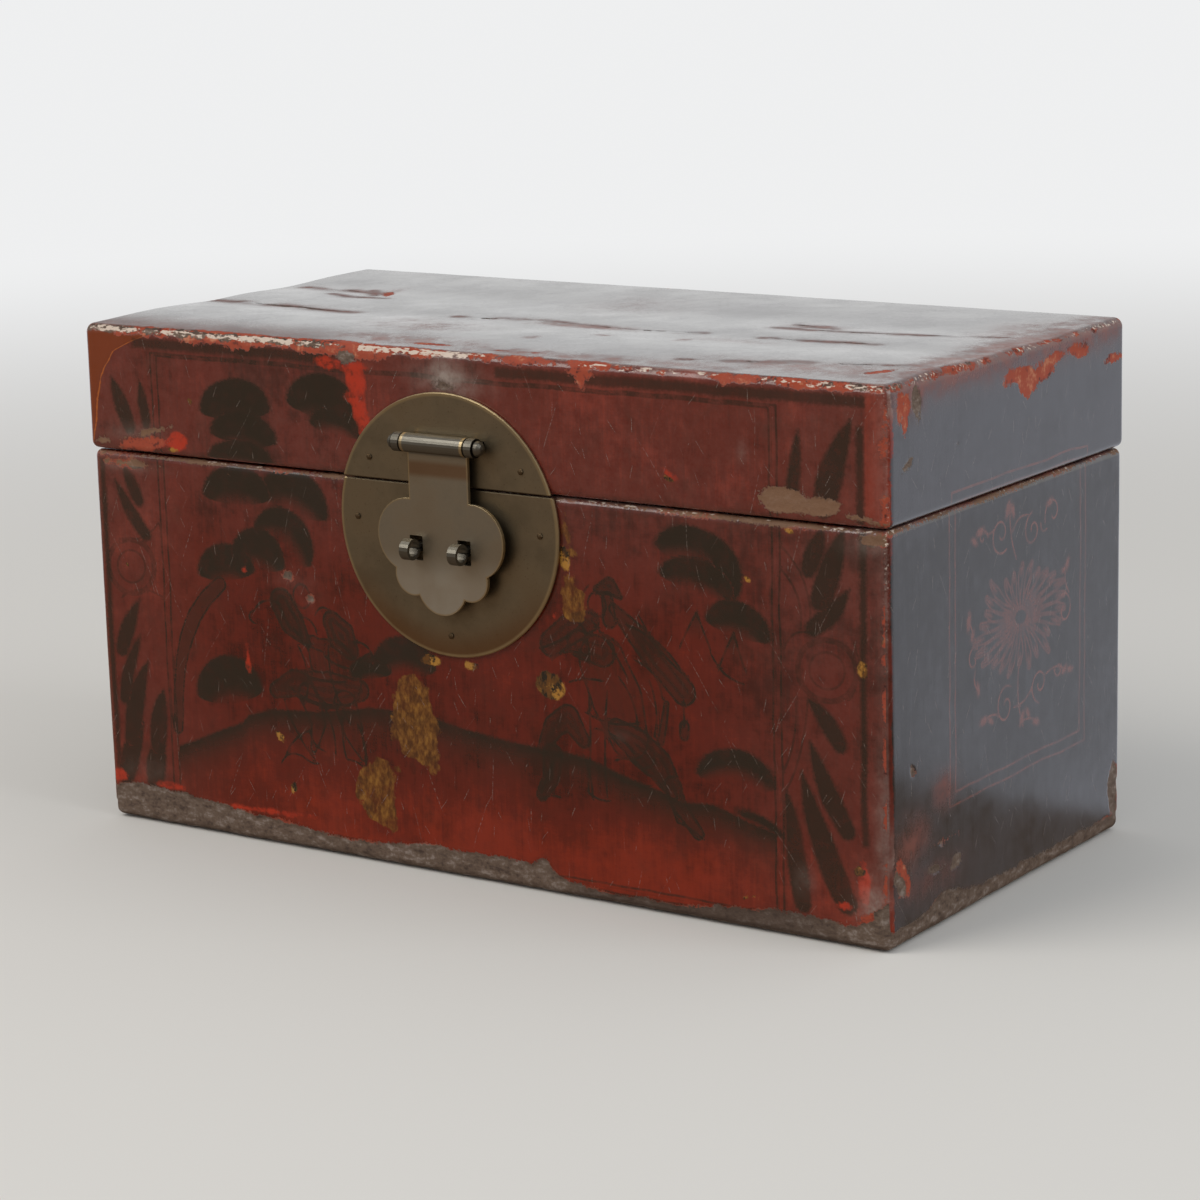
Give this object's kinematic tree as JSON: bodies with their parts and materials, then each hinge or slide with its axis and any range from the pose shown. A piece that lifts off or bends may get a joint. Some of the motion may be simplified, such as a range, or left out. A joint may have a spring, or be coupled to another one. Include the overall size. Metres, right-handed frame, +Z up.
{
  "type": "lacquered trunk",
  "caption": "Small lacquered document trunk with a hinged lid, a round split lock plate and a swinging cloud-shaped hasp over two lock eyes.",
  "frame": {"origin": "middle of the flat underside, on the surface that the trunk stands on", "axes": "+X to the right along the length, the front with the lock faces -Y, +Z up"},
  "size_m": [0.4, 0.2237, 0.222],
  "materials": {
    "lacquer": "satin",
    "carcass_wood": "raw",
    "bamboo": "raw",
    "brass": "aged",
    "nail_brass": "aged"
  },
  "bodies": {
    "base": {"base_front_board": "carcass_wood", "base_back_board": "carcass_wood", "base_left_board": "carcass_wood", "base_right_board": "carcass_wood", "base_bottom_board": "carcass_wood", "base_cover": "lacquer", "bottom_peg_1": "bamboo", "bottom_peg_2": "bamboo", "bottom_peg_3": "bamboo", "bottom_peg_4": "bamboo", "lower_lock_plate": "brass", "lock_eye_left": "brass", "lock_eye_right": "brass", "hinge_left_base_leaf": "brass", "hinge_right_base_leaf": "brass", "hinge_left_pin": "brass", "hinge_right_pin": "brass", "lower_plate_nail_left": "nail_brass", "lower_plate_nail_right": "nail_brass", "lower_plate_nail_bottom": "nail_brass", "hinge_left_base_nail_1": "nail_brass", "hinge_left_base_nail_2": "nail_brass", "hinge_left_base_nail_3": "nail_brass", "hinge_right_base_nail_1": "nail_brass", "hinge_right_base_nail_2": "nail_brass", "hinge_right_base_nail_3": "nail_brass"},
    "lid": {"lid_front_rail": "carcass_wood", "lid_back_rail": "carcass_wood", "lid_left_rail": "carcass_wood", "lid_right_rail": "carcass_wood", "lid_front_plank": "carcass_wood", "lid_middle_plank": "carcass_wood", "lid_back_plank": "carcass_wood", "lid_cover": "lacquer", "top_peg_1": "bamboo", "top_peg_2": "bamboo", "top_peg_3": "bamboo", "top_peg_4": "bamboo", "top_peg_5": "bamboo", "top_peg_6": "bamboo", "upper_lock_plate": "brass", "hasp_strap_left": "brass", "hasp_strap_right": "brass", "hasp_pin": "brass", "hinge_left_lid_leaf": "brass", "hinge_right_lid_leaf": "brass", "upper_plate_nail_left": "nail_brass", "upper_plate_nail_right": "nail_brass", "hinge_left_lid_nail_1": "nail_brass", "hinge_left_lid_nail_2": "nail_brass", "hinge_left_lid_nail_3": "nail_brass", "hinge_right_lid_nail_1": "nail_brass", "hinge_right_lid_nail_2": "nail_brass", "hinge_right_lid_nail_3": "nail_brass"},
    "hasp": {"hasp": "brass"}
  },
  "joints": [
    {"name": "lid_hinge", "type": "hinge", "parent": "base", "child": "lid", "pos_m": [0, 0.1039, 0.167], "axis": [-1, 0, 0], "range_deg": [0, 110]},
    {"name": "hasp_hinge", "type": "hinge", "parent": "lid", "child": "hasp", "pos_m": [-0.0054, -0.108, 0.185], "axis": [-1, 0, 0], "range_deg": [0, 170]}
  ]
}
